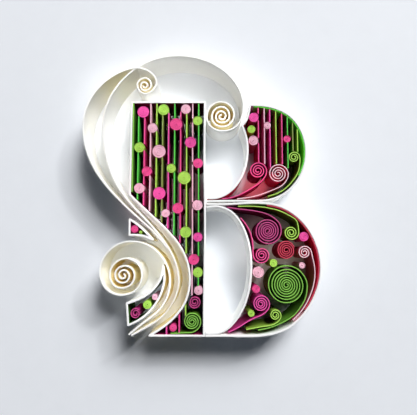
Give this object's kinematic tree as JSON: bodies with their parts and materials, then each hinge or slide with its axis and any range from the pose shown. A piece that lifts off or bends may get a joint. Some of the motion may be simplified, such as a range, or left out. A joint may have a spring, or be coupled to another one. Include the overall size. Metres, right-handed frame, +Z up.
{
  "type": "quilled paper art",
  "caption": "Quilled paper letter B: coloured strips, coils and scrolls on edge inside white outlines, with cream spiral flourishes, on a flat square card.",
  "frame": {"origin": "middle of the card's underside", "axes": "+Z up out of the card, +Y to the top of the letter, +X to its right"},
  "size_m": [0.14, 0.14, 0.0115],
  "materials": {
    "hot_pink": "matt coloured paper",
    "magenta": "matt coloured paper",
    "pale_pink": "matt coloured paper",
    "lime": "matt coloured paper",
    "green": "matt coloured paper",
    "olive": "matt coloured paper",
    "crimson": "matt coloured paper",
    "white_outline": "matt white card strip",
    "cream": "matt cream paper strip",
    "white_card": "smooth matt white card"
  },
  "bodies": {
    "root": {"backing_card": "white_card", "bowl_coil_crimson": "crimson", "bowl_pegs_hot_pink": "hot_pink", "bowl_pegs_lime": "lime", "bowl_pegs_magenta": "magenta", "bowl_pegs_pale_pink": "pale_pink", "flourish_crown": "cream", "flourish_inner": "cream", "flourish_loop": "cream", "flourish_outer": "cream", "foot_coil_magenta": "magenta", "foot_scroll_green": "green", "leaf_coil_magenta": "magenta", "leaf_outline": "white_outline", "lower_bowl_outline": "white_outline", "lower_counter_outline": "white_outline", "lower_lining_crimson": "crimson", "lower_scroll_green": "green", "lower_scroll_hot_pink": "hot_pink", "lower_scroll_lime": "lime", "lower_scroll_magenta": "magenta", "lower_scroll_pale_pink": "pale_pink", "lower_scroll_plum": "magenta", "lower_scroll_small_lime": "lime", "side_pegs_hot_pink": "hot_pink", "side_pegs_lime": "lime", "side_pegs_pale_pink": "pale_pink", "stem_lining_green": "green", "stem_outline": "white_outline", "stem_pegs_hot_pink": "hot_pink", "stem_pegs_lime": "lime", "stem_pegs_magenta": "magenta", "stem_pegs_pale_pink": "pale_pink", "stem_strip_01_green": "green", "stem_strip_02_hot_pink": "hot_pink", "stem_strip_03_pale_pink": "pale_pink", "stem_strip_04_lime": "lime", "stem_strip_05_olive": "olive", "stem_strip_06_magenta": "magenta", "stem_strip_07_green": "green", "stem_strip_08_hot_pink": "hot_pink", "stem_strip_09_lime": "lime", "stem_strip_10_pale_pink": "pale_pink", "stem_strip_11_green": "green", "triangle_outline": "white_outline", "upper_bowl_outline": "white_outline", "upper_lining_green": "green", "upper_scroll_hot_pink": "hot_pink", "upper_scroll_lime": "lime", "upper_scroll_pale_pink": "pale_pink", "upper_strip_01_hot_pink": "hot_pink", "upper_strip_02_pale_pink": "pale_pink", "upper_strip_03_magenta": "magenta", "upper_strip_04_lime": "lime", "upper_strip_05_hot_pink": "hot_pink", "upper_strip_06_green": "green", "upper_strip_07_olive": "olive", "upper_strip_08_lime": "lime"}
  },
  "joints": []
}
